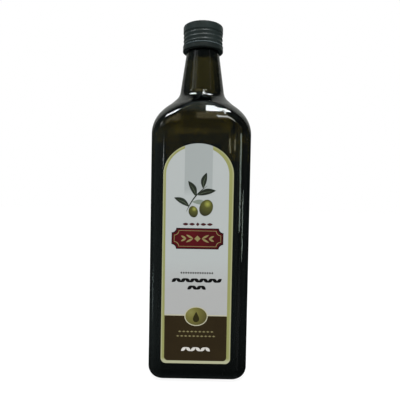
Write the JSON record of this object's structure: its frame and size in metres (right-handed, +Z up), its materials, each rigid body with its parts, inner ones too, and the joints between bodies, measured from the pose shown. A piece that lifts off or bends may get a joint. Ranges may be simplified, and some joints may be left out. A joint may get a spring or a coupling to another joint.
{
  "type": "olive oil bottle",
  "caption": "Tall square dark glass oil bottle with round shoulders, a tapered neck, a rolled aluminium screw cap and an arched front label, filled with oil.",
  "frame": {"origin": "centre of the base, on the plane the bottle stands on", "axes": "+Z up along the bottle's axis, -Y out of the labelled front, +X to the right when looking at the label"},
  "size_m": [0.0758, 0.0761, 0.278],
  "materials": {
    "dark_glass": "smooth dark olive-green bottle glass",
    "oil": "clear green-gold oil",
    "cap_aluminium": "satin dark green-grey lacquer on aluminium",
    "label_paper": "smooth coated paper with printed fields of colour"
  },
  "bodies": {
    "root": {"bottle": "dark_glass", "oil": "oil", "cap": "cap_aluminium", "label": "label_paper"}
  },
  "joints": []
}
